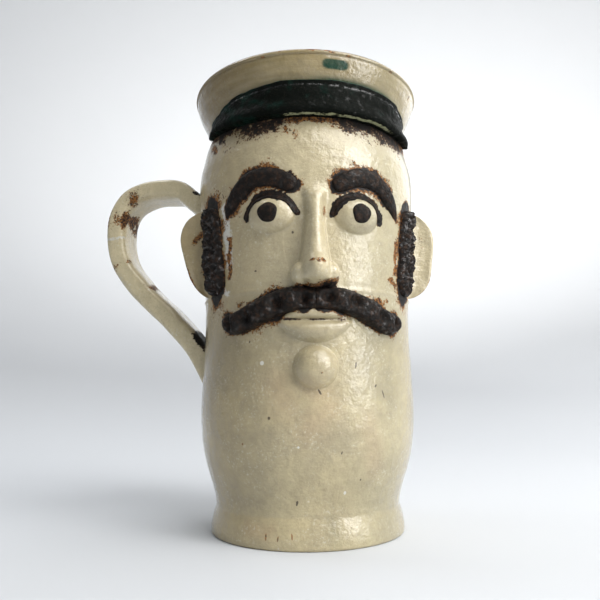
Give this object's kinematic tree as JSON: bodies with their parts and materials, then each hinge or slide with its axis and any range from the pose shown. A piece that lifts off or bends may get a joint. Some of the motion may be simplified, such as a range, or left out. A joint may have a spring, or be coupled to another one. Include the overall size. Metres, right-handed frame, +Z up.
{
  "type": "ceramic jug",
  "caption": "Hand-thrown glazed jug in the shape of a capped head, with a flared foot and collar and one strap handle.",
  "frame": {"origin": "middle of the flat underside", "axes": "+Z up, the face looks along -Y, the figure's left is +X, and the handle is at the figure's right"},
  "size_m": [0.2023, 0.1496, 0.26],
  "materials": {
    "buff_glaze": "gloss",
    "ivory_glaze": "gloss",
    "manganese_slip": "satin",
    "black_green_glaze": "gloss"
  },
  "bodies": {
    "root": {"vessel_body": "buff_glaze", "strap_handle": "buff_glaze", "nose": "ivory_glaze", "upper_lip": "ivory_glaze", "lower_lip": "ivory_glaze", "chin": "ivory_glaze", "left_eyeball": "ivory_glaze", "right_eyeball": "ivory_glaze", "left_ear": "ivory_glaze", "right_ear": "ivory_glaze", "left_pupil": "manganese_slip", "right_pupil": "manganese_slip", "left_upper_eyelid": "manganese_slip", "right_upper_eyelid": "manganese_slip", "left_eyebrow": "manganese_slip", "right_eyebrow": "manganese_slip", "left_moustache": "manganese_slip", "right_moustache": "manganese_slip", "left_sideburn": "manganese_slip", "right_sideburn": "manganese_slip", "cap_peak": "black_green_glaze"}
  },
  "joints": []
}
